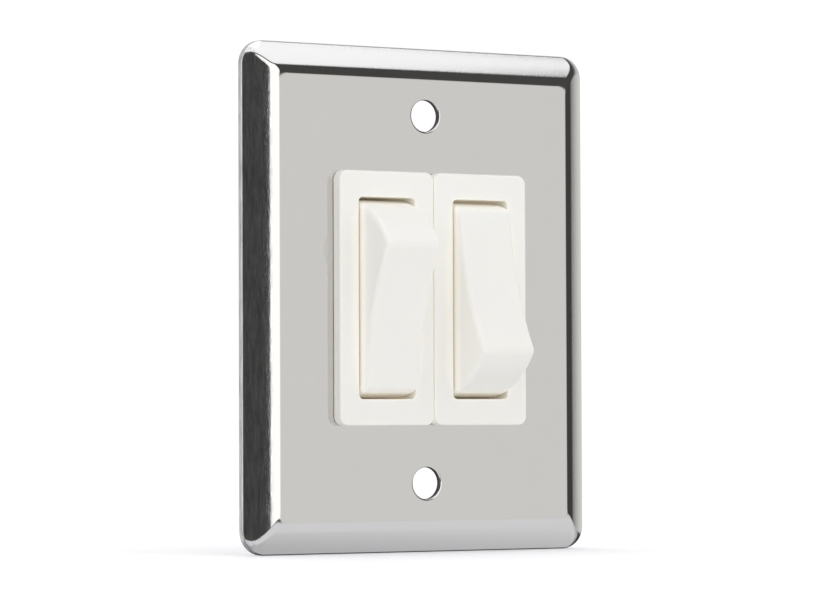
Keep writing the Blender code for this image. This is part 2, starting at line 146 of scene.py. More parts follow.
# Pieces that keep their frame node's shape
BASE_EDGE = 0.2
BLADE_EDGE = 0.08
WELD_REACH = 0.002
SOFT_STEPS = 3

# Colours, as linear red, green and blue; a pair is mixed by noise
PLATING = ((0.70, 0.70, 0.695), (0.725, 0.725, 0.72))
# Left bevel streaks: a rubbing pattern, painted darker and lighter as the bevel's streaky
# reflection
PAINTED_STREAK_PLATING = ((0.46, 0.465, 0.49), (0.86, 0.86, 0.86))
RAW_HOLE_WALL = (0.06, 0.058, 0.054)
NYLON = ((0.855, 0.846, 0.812), (0.875, 0.866, 0.834))
NYLON_GAP_LIGHT = (0.47, 0.39, 0.27, 1.0)
PHENOLIC = ((0.018, 0.018, 0.019), (0.05, 0.048, 0.045))
ACETAL = ((0.80, 0.78, 0.69), (0.84, 0.82, 0.75))
FLOOR_PAINT = ((0.93, 0.93, 0.955), (0.94, 0.94, 0.96))
# Strip metals by slot: name, clean colour, tarnished colour, roughness where clean
STRIP_METALS = {
    "brass": ("brass_strip", (0.80, 0.62, 0.30), (0.55, 0.38, 0.17), 0.2),
    "copper": ("copper_strip", (0.85, 0.48, 0.33), (0.5, 0.24, 0.15), 0.22),
    "silver": ("contact_silver", (0.86, 0.86, 0.84), (0.6, 0.58, 0.53), 0.24),
    "spring_steel": ("spring_wire", (0.55, 0.55, 0.56), (0.36, 0.35, 0.35), 0.25),
}

# Roughness, from 0 for a mirror to 1; a pair is mixed by noise
PLATING_ROUGHNESS = (0.04, 0.06)
HAIRLINE_ROUGHNESS = 0.03
RAW_WALL_ROUGHNESS = 0.3
BACK_ROUGHNESS = (0.0, 0.22)
NYLON_ROUGHNESS = (0.36, 0.46)
PHENOLIC_ROUGHNESS = (0.38, 0.58)
ACETAL_ROUGHNESS = (0.24, 0.36)
ROLLED_SPREAD = 0.12
TARNISH_ROUGHNESS = 0.12

# The middle of noise's range, where most of its values lie
NOISE_SPAN = (0.3, 0.7)
# How far a surface faces along an axis: where its finish starts, and where it is full
BEVEL_FACING = (0.35, 0.5)
LEFT_BEVEL_FACING = (-0.35, -0.5)
BACK_FACING = (0.5, 0.9)

# Nylon's glow in gaps, as (openness, strength): it stands in for light that comes through
NYLON_GLOW = ((0.0, 0.15), (0.15, 0.11), (0.4, 0.15), (0.65, 0.25), (0.92, 0.0))
GLOW_REACH = 3.0
OPENNESS_SAMPLES = 8

FLOOR_RADIUS = 450
FLOOR_STEPS = 96
FLOOR_ROUGHNESS = 0.9
FLOOR_GLOW = 0.06
WHITE = (1.0, 1.0, 1.0, 1.0)

# Studio: brightness by direction, as (degrees, level) stops. Azimuth 0 is straight in
# front of the plate and grows toward +X; elevation 0 is level.
STUDIO_STRENGTH = 2.0
CAMERA_WHITE = (0.52, 0.52, 0.52)
SOFT_LIGHT = ((-90, 0.95), (-30, 0.73), (0, 0.62), (90, 0.50))
PANEL_RING = (
    (-180, 0.30), (-150, 0.34), (-122, 0.55), (-104, 0.45), (-85, 0.08), (-60, 0.035),
    (-29, 0.035), (-26.5, 0.72), (22, 0.72), (26, 0.41), (40, 0.405), (46, 0.03), (90, 0.03),
    (95, 0.12), (101, 0.31), (107, 0.42), (150, 0.42), (180, 0.30))
GAP_ABOVE = (
    (-180, 0.35), (-120, 0.45), (-60, 0.10), (-34, 0.04), (0, 0.035),
    (6, 0.035), (85, 0.035), (110, 0.35), (180, 0.35))
GAP_BELOW = ((-180, 0.30), (-120, 0.45), (-60, 0.04), (22, 0.04), (27, 0.40), (180, 0.30))
TABLE = (
    (-180, 0.20), (-110, 0.20), (-80, 0.38), (-30, 0.44), (70, 0.42), (88, 0.30),
    (100, 0.03), (150, 0.03), (180, 0.20))
OVERHEAD = ((-90, 0.63), (50, 0.63), (60, 0.66), (90, 1.0))
# The table darkens between these elevations
TABLE_FADE = (-46, -56)
TABLE_FADE_LEVELS = (1.06, 0.70)
RING_TINT = (1.0, 0.98, 0.955)
TABLE_TINT = (1.0, 0.985, 1.01)
OVERHEAD_TINT = (0.985, 0.985, 1.0)

# Edges between the studio's bands, in degrees of elevation, each with a short soft step
RING_TOP = (6.5, 9)
RING_BOTTOM = (-5, -3.5)
OVERHEAD_EDGE = (46, 48)
TABLE_EDGE = (-28, -24)
# The front panel is taller than the rest of the ring, and ends between two azimuths
FRONT_PANEL_END = (24, 20)
FRONT_PANEL_EXTRA = 29
# Where an edge moves: degrees of azimuth, then the degrees that it moves up by
OVERHEAD_SLANT = ((20, 66), (-4, 3.5))
OVERHEAD_STEP = ((74, 82), (0, 13))
TABLE_STEP = ((-30, -20), (0, 18))

# Camera
CAMERA_AZIMUTH = math.radians(-32.254)
CAMERA_ELEVATION = math.radians(-1.770)
CAMERA_ROLL = math.radians(-0.226)
CAMERA_DISTANCE = 656.94
CAMERA_TARGET = Vector((1.478, 0.0, 0.016))
CAMERA_LENS = 170.42
CAMERA_NEAREST = 50


# ---------------------------------------------------------------- outlines and meshes

def arc(radius, start, end, steps):
    """Points (cos, sin) * radius from one angle to another, both ends included."""
    angles = [start + (end - start) * i / steps for i in range(steps + 1)]
    return [(radius * math.cos(a), radius * math.sin(a)) for a in angles]


def circle(radius, steps=CIRCLE_STEPS):
    return arc(radius, 0, 2 * math.pi * (1 - 1 / steps), steps - 1)


def rounded_rectangle(width, height, radius, centre_x=0.0):
    """Closed outline (x, z), counter-clockwise seen from the front."""
    outline = []
    for quarter, (sx, sz) in enumerate(((1, 1), (-1, 1), (-1, -1), (1, -1))):
        start = quarter * math.pi / 2
        for x, z in arc(radius, start, start + math.pi / 2, CORNER_STEPS):
            across = centre_x + sx * (width / 2 - radius) + x
            outline.append((across, sz * (height / 2 - radius) + z))
    return outline


def at_depth(outline, y):
    return [(x, y, z) for x, z in outline]


def fillet(before, corner, after, radius, steps):
    """Points that round one corner of an outline."""
    corner = Vector(corner)
    back = (Vector(before) - corner).normalized()
    ahead = (Vector(after) - corner).normalized()
    half = back.angle(ahead) / 2
    centre = corner + (back + ahead).normalized() * radius / math.sin(half)
    start = corner + back * radius / math.tan(half) - centre
    end = corner + ahead * radius / math.tan(half) - centre
    spokes = [start.slerp(end, i / steps) * radius for i in range(steps + 1)]
    return [tuple(centre + spoke) for spoke in spokes]


def skin(mesh, loops):
    """Quads between loops of equally many vertices."""
    for first, second in zip(loops, loops[1:]):
        for i, vert in enumerate(first):
            j = (i + 1) % len(first)
            mesh.faces.new((vert, first[j], second[j], second[i]))


def add_loops(mesh, rings):
    return [[mesh.verts.new(point) for point in ring] for ring in rings]


def loft(rings, closed=False):
    """Skin between rings of (x, y, z) points, capped unless the rings form a loop."""
    mesh = bmesh.new()
    loops = add_loops(mesh, rings)
    skin(mesh, loops + loops[:1] if closed else loops)
    if not closed:
        mesh.faces.new(loops[0])
        mesh.faces.new(loops[-1])
    bmesh.ops.recalc_face_normals(mesh, faces=mesh.faces)
    return mesh


def prism_x(outline, x_left, x_right):
    """A (y, z) outline extruded along X."""
    return loft([[(x, y, z) for y, z in outline] for x in (x_left, x_right)])


def turned_y(profile):
    """A solid turned about the Y axis, from (y, radius) points between its two flat ends."""
    return loft([at_depth(circle(radius), y) for y, radius in profile])


def new_object(name, mesh, placement=Matrix.Identity(4)):
    """One object from a mesh in millimetres, put in the frame by a placement in millimetres."""
    mesh.transform(Matrix.Scale(MM, 4) @ placement)
    data = bpy.data.meshes.new(name)
    mesh.to_mesh(data)
    mesh.free()
    obj = bpy.data.objects.new(name, data)
    bpy.context.scene.collection.objects.link(obj)
    return obj


def combine(target, mesh, operation, placement=Matrix.Identity(4)):
    """Join a shape to an object, or cut it away, and keep the result as the object's mesh."""
    helper = new_object("helper", mesh, placement)
    modifier = target.modifiers.new("combine", "BOOLEAN")
    modifier.operation = operation
    modifier.solver = "EXACT"
    modifier.object = helper
    bake_modifiers(target)
    bpy.data.objects.remove(helper)


def bake_modifiers(obj):
    """The object's mesh as its modifiers leave it."""
    evaluated = obj.evaluated_get(bpy.context.evaluated_depsgraph_get())
    data = bpy.data.meshes.new_from_object(evaluated)
    obj.modifiers.clear()
    obj.data = data


def settle_shading(obj):
    """Smooth shading that keeps flats flat and real corners sharp."""
    obj.data.shade_smooth()
    obj.data.set_sharp_from_angle(angle=SHARP_ANGLE)
    modifier = obj.modifiers.new("weighted_normals", "WEIGHTED_NORMAL")
    modifier.keep_sharp = True
    bake_modifiers(obj)


def take_over(obj, node, body, material):
    """The piece stands for a CAD node, moves with its body and has its finish."""
    obj.data.materials.clear()
    obj.data.materials.append(material)
    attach(obj, body)
    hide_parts(node)


# ---------------------------------------------------------------- node materials
# Noise scales are in cells per metre, and bump depths in millimetres.

def make_material(name, **settings):
    """A Principled material; settings name its sockets, with underscores for spaces."""
    material = bpy.data.materials.new(name)
    material.use_nodes = True
    shader = material.node_tree.nodes["Principled BSDF"]
    for socket, value in settings.items():
        shader.inputs[socket.replace("_", " ")].default_value = value
    return material, material.node_tree, shader


def link(tree, source, target):
    tree.links.new(source, target)


def coordinates(tree, stretch=(1, 1, 1)):
    """Object coordinates, in metres, multiplied by a stretch."""
    texture = tree.nodes.new("ShaderNodeTexCoord")
    mapping = tree.nodes.new("ShaderNodeMapping")
    mapping.inputs["Scale"].default_value = stretch
    link(tree, texture.outputs["Object"], mapping.inputs["Vector"])
    return mapping.outputs["Vector"]


def noise(tree, vector, scale, detail=3.0, roughness=0.5):
    node = tree.nodes.new("ShaderNodeTexNoise")
    node.inputs["Scale"].default_value = scale
    node.inputs["Detail"].default_value = detail
    node.inputs["Roughness"].default_value = roughness
    link(tree, vector, node.inputs["Vector"])
    return node.outputs["Fac"]


def remap(tree, value, source, target):
    """A value moved from one (start, end) range to another, and kept within it."""
    node = tree.nodes.new("ShaderNodeMapRange")
    sockets = ("From Min", "From Max", "To Min", "To Max")
    for socket, number in zip(sockets, (*source, *target)):
        node.inputs[socket].default_value = number
    link(tree, value, node.inputs["Value"])
    return node.outputs["Result"]


def maths(tree, operation, first, second=None):
    """One Math node; each operand is a socket or a number."""
    node = tree.nodes.new("ShaderNodeMath")
    node.operation = operation
    for socket, operand in zip(node.inputs, (first, second)):
        if isinstance(operand, bpy.types.NodeSocket):
            link(tree, operand, socket)
        elif operand is not None:
            socket.default_value = operand
    return node.outputs["Value"]


def mix_colors(tree, factor, first, second):
    """Colour mix; the factor is a socket, and each colour is a socket or a triple."""
    node = tree.nodes.new("ShaderNodeMix")
    node.data_type = "RGBA"
    link(tree, factor, node.inputs["Factor"])
    for socket, color in ((node.inputs[6], first), (node.inputs[7], second)):
        if isinstance(color, bpy.types.NodeSocket):
            link(tree, color, socket)
        else:
            socket.default_value = (*color, 1.0)
    return node.outputs[2]


def ramp(tree, value, stops):
    """A grey ramp from (position, brightness) stops, both from 0 to 1."""
    node = tree.nodes.new("ShaderNodeValToRGB")
    node.color_ramp.interpolation = "EASE"
    elements = node.color_ramp.elements
    elements[0].position = stops[0][0]
    elements[1].position = stops[-1][0]
    for position, _ in stops[1:-1]:
        elements.new(position)
    for element, (_, level) in zip(elements, stops):
        element.color = (level, level, level, 1.0)
    link(tree, value, node.inputs["Fac"])
    return node.outputs["Color"]


def bump(tree, height, depth, normal=None):
    node = tree.nodes.new("ShaderNodeBump")
    node.inputs["Distance"].default_value = depth * MM
    node.inputs["Strength"].default_value = 1.0
    link(tree, height, node.inputs["Height"])
    if normal:
        link(tree, normal, node.inputs["Normal"])
    return node.outputs["Normal"]


def facing_parts(tree):
    """How far the smooth surface faces along X, Y and Z, each from -1 to 1."""
    geometry = tree.nodes.new("ShaderNodeNewGeometry")
    parts = tree.nodes.new("ShaderNodeSeparateXYZ")
    link(tree, geometry.outputs["Normal"], parts.inputs["Vector"])
    return parts.outputs


def openness(tree, reach):
    """1 on open surfaces, 0 deep in a gap."""
    node = tree.nodes.new("ShaderNodeAmbientOcclusion")
    node.samples = OPENNESS_SAMPLES
    node.inputs["Distance"].default_value = reach * MM
    return node.outputs["AO"]


def hole_walls(tree):
    """1 on the punched walls of the two screw holes, 0 elsewhere on the plate."""
    parts = tree.nodes.new("ShaderNodeSeparateXYZ")
    link(tree, coordinates(tree), parts.inputs["Vector"])
    upward = maths(tree, "ABSOLUTE", parts.outputs["Z"])
    upward = maths(tree, "SUBTRACT", upward, SCREW_SPACING / 2 * MM)
    squares = maths(tree, "ADD", maths(tree, "MULTIPLY", parts.outputs["X"], parts.outputs["X"]),
                    maths(tree, "MULTIPLY", upward, upward))
    wall, edge = SCREW_HOLE_RADIUS * MM, (SCREW_HOLE_RADIUS + HOLE_MASK_BLUR) * MM
    return remap(tree, maths(tree, "SQRT", squares), (wall, edge), (1, 0))


def plating_color(tree, facing, haze, raw):
    """Even plating; on the left bevel only, rubbed streaks painted darker and lighter as a
    stand-in for its streaky reflection; dark on the raw hole walls.
    """
    tone = mix_colors(tree, haze, *PLATING)
    # Painted reflection: rubbed streaks, darker and lighter, on the left bevel only
    streak_noise = noise(tree, coordinates(tree, (1, 1, 0.12)), 1900, detail=6.0, roughness=0.75)
    streaks = remap(tree, streak_noise, (0.35, 0.65), (0.0, 1.0))
    painted_streak_reflection = mix_colors(tree, streaks, *PAINTED_STREAK_PLATING)
    on_left = remap(tree, facing["X"], LEFT_BEVEL_FACING, (0, 1))
    return mix_colors(tree, raw, mix_colors(tree, on_left, tone, painted_streak_reflection), RAW_HOLE_WALL)


def chrome_material():
    """Bright plating: a nearly true mirror on the face, hairlines along each bevel."""
    material, tree, shader = make_material("chrome_plating", Metallic=1.0)
    along_z = noise(tree, coordinates(tree, (1, 1, 0.2)), 4200, detail=4.0, roughness=0.65)
    along_x = noise(tree, coordinates(tree, (1, 0.6, 0.6)), 4200, detail=4.0, roughness=0.65)
    facing = facing_parts(tree)
    on_sides = remap(tree, maths(tree, "ABSOLUTE", facing["X"]), BEVEL_FACING, (0, 1))
    on_ends = remap(tree, maths(tree, "ABSOLUTE", facing["Z"]), BEVEL_FACING, (0, 1))
    hairlines = maths(tree, "ADD", maths(tree, "MULTIPLY", along_z, on_sides),
                      maths(tree, "MULTIPLY", along_x, on_ends))
    waves = noise(tree, coordinates(tree), 90, detail=2.0)
    grain = bump(tree, hairlines, depth=0.009)
    link(tree, bump(tree, waves, depth=0.012, normal=grain), shader.inputs["Normal"])
    haze = noise(tree, coordinates(tree), 260)
    raw = hole_walls(tree)
    link(tree, plating_color(tree, facing, haze, raw), shader.inputs["Base Color"])
    behind = remap(tree, facing["Y"], BACK_FACING, BACK_ROUGHNESS)
    brushed = maths(tree, "MAXIMUM", on_sides, on_ends)
    brushed = maths(tree, "MULTIPLY", brushed, HAIRLINE_ROUGHNESS)
    polish = remap(tree, haze, NOISE_SPAN, PLATING_ROUGHNESS)
    rough = maths(tree, "ADD", maths(tree, "ADD", polish, brushed), behind)
    rough = maths(tree, "ADD", rough, maths(tree, "MULTIPLY", raw, RAW_WALL_ROUGHNESS))
    link(tree, rough, shader.inputs["Roughness"])
    return material


def nylon_material():
    """Moulded white nylon: warm, a little translucent, with a fine satin skin."""
    material, tree, shader = make_material(
        "white_nylon_skin", IOR=1.53, Subsurface_Weight=0.4, Subsurface_Scale=0.0007,
        Subsurface_Radius=(1.0, 0.85, 0.65), Emission_Color=NYLON_GAP_LIGHT,
    )
    place = coordinates(tree)
    tone = mix_colors(tree, noise(tree, place, 160), *NYLON)
    link(tree, tone, shader.inputs["Base Color"])
    sheen = remap(tree, noise(tree, place, 700, detail=2.0), NOISE_SPAN, NYLON_ROUGHNESS)
    link(tree, sheen, shader.inputs["Roughness"])
    satin = bump(tree, noise(tree, place, 9000, roughness=0.6), depth=0.004)
    sink = bump(tree, noise(tree, place, 130, detail=1.0), depth=0.02, normal=satin)
    link(tree, sink, shader.inputs["Normal"])
    glow = ramp(tree, openness(tree, GLOW_REACH), NYLON_GLOW)
    link(tree, glow, shader.inputs["Emission Strength"])
    return material


def phenolic_material():
    """Black moulding powder: slightly mottled, with a dull bloom."""
    material, tree, shader = make_material("black_phenolic_skin", IOR=1.6)
    place = coordinates(tree)
    flecks = noise(tree, place, 2600, detail=5.0, roughness=0.7)
    flecks = remap(tree, flecks, (0.45, 0.75), (0, 1))
    link(tree, mix_colors(tree, flecks, *PHENOLIC), shader.inputs["Base Color"])
    bloom = remap(tree, noise(tree, place, 420), NOISE_SPAN, PHENOLIC_ROUGHNESS)
    link(tree, bloom, shader.inputs["Roughness"])
    grain = bump(tree, noise(tree, place, 5200, detail=4.0, roughness=0.6), depth=0.012)
    link(tree, grain, shader.inputs["Normal"])
    return material


def rolled_metal_material(name, clean, tarnished, roughness):
    """Strip metal: rolling lines along Y, patches of tarnish and a softer sheen on them."""
    material, tree, shader = make_material(name, Metallic=1.0)
    lines = noise(tree, coordinates(tree, (1, 0.03, 1)), 6000, detail=4.0, roughness=0.6)
    patches = noise(tree, coordinates(tree), 330, detail=4.0, roughness=0.6)
    patches = remap(tree, patches, (0.42, 0.68), (0, 1))
    link(tree, mix_colors(tree, patches, clean, tarnished), shader.inputs["Base Color"])
    rolled = remap(tree, lines, NOISE_SPAN, (roughness, roughness + ROLLED_SPREAD))
    dull = maths(tree, "MULTIPLY", patches, TARNISH_ROUGHNESS)
    sheen = maths(tree, "ADD", rolled, dull)
    link(tree, sheen, shader.inputs["Roughness"])
    link(tree, bump(tree, lines, depth=0.006), shader.inputs["Normal"])
    return material


def acetal_material():
    """Natural acetal: creamy, slick, faintly translucent."""
    material, tree, shader = make_material(
        "acetal_skin", IOR=1.48, Subsurface_Weight=0.2, Subsurface_Scale=0.0005,
    )
    place = coordinates(tree)
    tone = mix_colors(tree, noise(tree, place, 500), *ACETAL)
    link(tree, tone, shader.inputs["Base Color"])
    sheen = remap(tree, noise(tree, place, 1500), NOISE_SPAN, ACETAL_ROUGHNESS)
    link(tree, sheen, shader.inputs["Roughness"])
    link(tree, bump(tree, noise(tree, place, 7000), depth=0.003), shader.inputs["Normal"])
    return material


def make_materials():
    """One material for each of the frame's slots."""
    materials = {
        "chrome": chrome_material(),
        "white_nylon": nylon_material(),
        "black_phenolic": phenolic_material(),
        "acetal": acetal_material(),
    }
    for slot, finish in STRIP_METALS.items():
        materials[slot] = rolled_metal_material(*finish)
    return materials


# ---------------------------------------------------------------- wall plate

def bevel_tilt(distance):
    """Slope of the bevel's surface at a distance out from the flat face."""
    share = min(distance / SHOULDER_WIDTH, 1.0)
    shoulder = SHOULDER_TILT * share * share * (3 - 2 * share)
    beyond = max(distance - SHOULDER_WIDTH, 0.0) / (BEVEL_WIDTH - SHOULDER_WIDTH)
    return shoulder + (LIP_TILT - SHOULDER_TILT) * beyond


def bevel_curve(rise):
    """(inset, rise, tilt) of the bevel's front surface, from the face out to the lip."""
    step = BEVEL_WIDTH / BEVEL_STEPS
    points = [(BEVEL_WIDTH, rise, 0.0)]
    for i in range(BEVEL_STEPS):
        distance = (i + 1) * step
        rise -= step * math.tan(bevel_tilt(distance - step / 2))
        points.append((BEVEL_WIDTH - distance, rise, bevel_tilt(distance)))
    return points


def rim_profile(rise):
    """(inset, rise) points of the rim: the face's edge, bevel, lip, foot, and back inside."""
    curve = bevel_curve(rise)
    front = [(inset, height) for inset, height, _ in curve]
    lip = fillet(front[-2], front[-1], (0.0, 0.0), LIP_ROUND, EDGE_STEPS)
    outer = [point for point in front if point[0] > lip[0][0]] + lip
    foot = fillet(lip[-1], (0.0, 0.0), (RIM_LAND, 0.0), FOOT_ROUND, EDGE_STEPS)
    inner = [(inset + SHEET * math.sin(tilt), height - SHEET * math.cos(tilt))
             for inset, height, tilt in reversed(curve)]
    inner = [point for point in inner if point[0] > RIM_LAND]
    heel = fillet(foot[-1], (RIM_LAND, 0.0), inner[0], FOOT_ROUND, EDGE_STEPS)
    face_strip = (BEVEL_WIDTH + FLAT_STRIP, rise)
    back_strip = (BEVEL_WIDTH + FLAT_STRIP, rise - SHEET)
    return [face_strip] + outer + foot + heel + inner + [back_strip]


def plate_ring(inset, rise, width, height):
    """The plate's outline at one point of its rim: its corners are tightest midway down."""
    outward = max(1 - inset / BEVEL_WIDTH, 0.0)
    corner = FOLD_CORNER + (OUTER_CORNER - FOLD_CORNER) * outward**4
    corner += (FACE_CORNER - FOLD_CORNER) * (1 - outward) ** 4
    return at_depth(rounded_rectangle(width - 2 * inset, height - 2 * inset, corner), -rise)


def hole_rings(centre_z, face_y):
    """A punched screw hole: rolled over in front, with a small burr behind."""
    back_y = face_y + SHEET
    wide = SCREW_HOLE_RADIUS + HOLE_ROUND
    profile = [(wide + FLAT_STRIP, face_y)]
    for across, up in arc(HOLE_ROUND, math.pi / 2, math.pi, EDGE_STEPS):
        profile.append((wide + across, face_y + HOLE_ROUND - up))
    profile += [(SCREW_HOLE_RADIUS, back_y - HOLE_BURR), (SCREW_HOLE_RADIUS + HOLE_BURR, back_y)]
    profile.append((SCREW_HOLE_RADIUS + HOLE_BURR + FLAT_STRIP, back_y))
    return [[(x, y, centre_z + z) for x, z in circle(radius)] for radius, y in profile]


def cutout_rings(centre_x, face_y):
    """The rectangular cut-out that both switches snap into, its front edge broken."""
    outlines = [
        rounded_rectangle(CUTOUT_WIDTH + 2 * grow, CUTOUT_HEIGHT + 2 * grow,
                          CUTOUT_CORNER + grow, centre_x)
        for grow in (HOLE_BURR, 0.0, 0.0)
    ]
    depths = (face_y, face_y + HOLE_BURR, face_y + SHEET)
    return [at_depth(outline, y) for outline, y in zip(outlines, depths)]


def fill_flat(mesh, loops):
    """One flat sheet between an outer loop and the loops of its holes."""
    edges = []
    for loop in loops:
        for i, vert in enumerate(loop):
            edges.append(mesh.edges.get((vert, loop[(i + 1) % len(loop)])))
    bmesh.ops.triangle_fill(mesh, use_beauty=True, edges=edges)


def make_plate(materials):
    low, high = (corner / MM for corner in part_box("face_plate"))
    width, height, rise = high.x - low.x, high.z - low.z, -low.y
    left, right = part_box("left_bezel_housing")[0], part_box("right_bezel_housing")[1]
    pair_x = (left.x + right.x) / 2 / MM
    mesh = bmesh.new()
    rim = add_loops(mesh, [plate_ring(*point, width, height) for point in rim_profile(rise)])
    openings = [add_loops(mesh, cutout_rings(pair_x, -rise))]
    for z in (SCREW_SPACING / 2, -SCREW_SPACING / 2):
        openings.append(add_loops(mesh, hole_rings(z, -rise)))
    for loops in [rim] + openings:
        skin(mesh, loops)
    fill_flat(mesh, [rim[0]] + [loops[0] for loops in openings])
    fill_flat(mesh, [rim[-1]] + [loops[-1] for loops in openings])
    bmesh.ops.recalc_face_normals(mesh, faces=mesh.faces)
    plate = new_object("chrome_plate", mesh)
    settle_shading(plate)
    take_over(plate, "face_plate", "root", materials["chrome"])


# ---------------------------------------------------------------- bezel housings

def bezel_rings(x, front_y, back_y, width, height):
    """Rings of the bezel, from its rear edge over its front and into the window."""
    rings = []

    def add(ring_width, ring_height, corner, y):
        rings.append(at_depth(rounded_rectangle(ring_width, ring_height, corner, x), y))

    add(width - 2 * FLAT_STRIP, height - 2 * FLAT_STRIP, BEZEL_CORNER - FLAT_STRIP, back_y)
    add(width, height, BEZEL_CORNER, back_y - FLAT_STRIP)
    for along, up in arc(BEZEL_EDGE, 0, math.pi / 2, EDGE_STEPS):
        inset = BEZEL_EDGE - along
        add(width - 2 * inset, height - 2 * inset, BEZEL_CORNER - inset,
            front_y + BEZEL_EDGE - up)
    flat = BEZEL_EDGE + FLAT_STRIP
    add(width - 2 * flat, height - 2 * flat, BEZEL_CORNER - flat, front_y)
    grow = WINDOW_EDGE + FLAT_STRIP
    add(WINDOW_WIDTH + 2 * grow, WINDOW_HEIGHT + 2 * grow, WINDOW_CORNER + grow, front_y)
    for along, up in arc(WINDOW_EDGE, math.pi / 2, 0, EDGE_STEPS):
        grow = WINDOW_EDGE - along
        add(WINDOW_WIDTH + 2 * grow, WINDOW_HEIGHT + 2 * grow, WINDOW_CORNER + grow,
            front_y + WINDOW_EDGE - up)
    return rings


def housing_rings(x, front_y, face_y, body_back, width, height):
    """Rings of the whole housing: over the bezel, down the window, and back by the body."""
    back_y = face_y - SEAT_GAP
    rings = bezel_rings(x, front_y, back_y, width, height)
    window = rounded_rectangle(WINDOW_WIDTH, WINDOW_HEIGHT, WINDOW_CORNER, x)
    rings.append(at_depth(window, body_back))
    for inset, y in ((BODY_EDGE, body_back), (0.0, body_back - BODY_EDGE), (0.0, back_y)):
        body = rounded_rectangle(BODY_WIDTH - 2 * inset, BODY_HEIGHT - 2 * inset,
                                 BODY_CORNER - inset, x)
        rings.append(at_depth(body, y))
    return rings


def make_housing(side, materials):
    """Bezel and hollow body in one, with two barbs that hold it and a bored bearing."""
    node = f"{side}_bezel_housing"
    low, high = (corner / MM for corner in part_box(node))
    x = (low.x + high.x) / 2
    face_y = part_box("face_plate")[0].y / MM
    rings = housing_rings(x, low.y, face_y, high.y, high.x - low.x, high.z - low.z)
    housing = new_object(f"{side}_bezel", loft(rings, closed=True))
    barb_y = face_y + SHEET + 2 * SEAT_GAP
    for sign in (1, -1):
        root = sign * (BODY_HEIGHT / 2 - JOIN_DEPTH)
        crest = sign * (BODY_HEIGHT / 2 + BARB_PROUD)
        barb = [(barb_y, root), (barb_y, crest), (barb_y + BARB_LAND, crest),
                (barb_y + BARB_LENGTH, root)]
        combine(housing, prism_x(barb, x - BARB_WIDTH / 2, x + BARB_WIDTH / 2), "UNION")
    pivot = joint_place(f"{side}_rocker_hinge")
    bearing = [(pivot.y + across, pivot.z + up) for across, up in circle(BEARING_RADIUS)]
    reach = BODY_WIDTH / 2 + CUT_PAST
    combine(housing, prism_x(bearing, x - reach, x + reach), "DIFFERENCE")
    settle_shading(housing)
    take_over(housing, node, "root", materials["white_nylon"])


# ---------------------------------------------------------------- rockers

def joint_place(name):
    """A point on a joint's axis, in millimetres."""
    joint = next(j for j in frame["joints"] if j["name"] == name)
    return Vector(joint["pos_m"]) / MM


def rocker_place(side, tilt):
    """Where a rocker drawn upright about its own pivot stands in the frame."""
    pivot = joint_place(f"{side}_rocker_hinge")
    return Matrix.Translation(pivot) @ Matrix.Rotation(tilt, 4, "X")


def end_arc(radius, start, end, steps):
    """Points (y, z) of the rocker's upper end; angles run from its front axis."""
    return [(-c, s) for c, s in arc(radius, start, end, steps)]


def mirrored(points):
    return [(y, -z) for y, z in reversed(points)]


def dish_curve(offset, half_height, steps):
    """The rocker's concave front, moved rearwards by offset: (y, z) points from top to bottom."""
    crest_y = -ROCKER_RADIUS * math.cos(CREST_ANGLE)
    crest_z = ROCKER_RADIUS * math.sin(CREST_ANGLE)
    radius = (crest_z**2 + DISH_DEPTH**2) / (2 * DISH_DEPTH)
    centre_y = crest_y + DISH_DEPTH - radius
    points = []
    for i in range(steps + 1):
        z = half_height * (1 - 2 * i / steps)
        points.append((centre_y + math.sqrt((radius + offset) ** 2 - z**2), z))
    return points


def rocker_outline():
    """Side outline (y, z): skirts, end arcs, rounded crests and the dished front."""
    end = end_arc(ROCKER_RADIUS, SKIRT_ANGLE, CREST_ANGLE, END_STEPS)
    crest = end[-1]
    dish = dish_curve(0.0, crest[1], DISH_STEPS)
    before, after = end[-CREST_REACH - 1], dish[CREST_REACH + 1]
    rounded = fillet(before, crest, after, CREST_ROUND, CREST_STEPS)
    top_end = end[:-CREST_REACH] + rounded
    return top_end + dish[CREST_REACH:-CREST_REACH] + mirrored(top_end)


def rocker_hollow():
    """Side outline of the space inside the rocker's walls, open at the back."""
    half = ROCKER_RADIUS * math.sin(CREST_ANGLE) - TOP_WALL
    inner = ROCKER_RADIUS - END_WALL
    wall = end_arc(inner, SKIRT_ANGLE, CREST_ANGLE + HOLLOW_SHORT_OF_CREST, HOLLOW_STEPS)
    top_end = [(wall[0][0] + CUT_PAST, wall[0][1])] + wall
    return top_end + dish_curve(TOP_WALL, half, HOLLOW_STEPS) + mirrored(top_end)


def make_rocker(side, tilt, materials):
    """A hollow paddle with two trunnions and a bored post."""
    half = ROCKER_WIDTH / 2
    shell = prism_x(rocker_outline(), -half, half)
    side_edges = [e for e in shell.edges if e.verts[0].co.x == e.verts[1].co.x]
    bmesh.ops.bevel(shell, geom=side_edges, offset=SIDE_EDGE, segments=EDGE_STEPS,
                    profile=0.5, affect="EDGES")
    place = rocker_place(side, tilt)
    rocker = new_object(f"{side}_paddle", shell, place)
    inside = half - SIDE_WALL
    combine(rocker, prism_x(rocker_hollow(), -inside, inside), "DIFFERENCE", place)
    mid_wall = DISH_DEPTH + TOP_WALL / 2 - ROCKER_RADIUS * math.cos(CREST_ANGLE)
    post = turned_y([(mid_wall, POST_RADIUS), (POST_DEPTH, POST_RADIUS)])
    combine(rocker, post, "UNION", place)
    bore = turned_y([(BORE_END, BORE_RADIUS), (POST_DEPTH + CUT_PAST, BORE_RADIUS)])
    combine(rocker, bore, "DIFFERENCE", place)
    pin = circle(TRUNNION_RADIUS)
    root, reach = half - JOIN_DEPTH, TRUNNION_SPAN / 2
    for left, right in ((-reach, -root), (root, reach)):
        combine(rocker, prism_x(pin, left, right), "UNION", place)
    settle_shading(rocker)
    take_over(rocker, f"{side}_rocker", f"{side}_rocker_body",
              materials["white_nylon"])


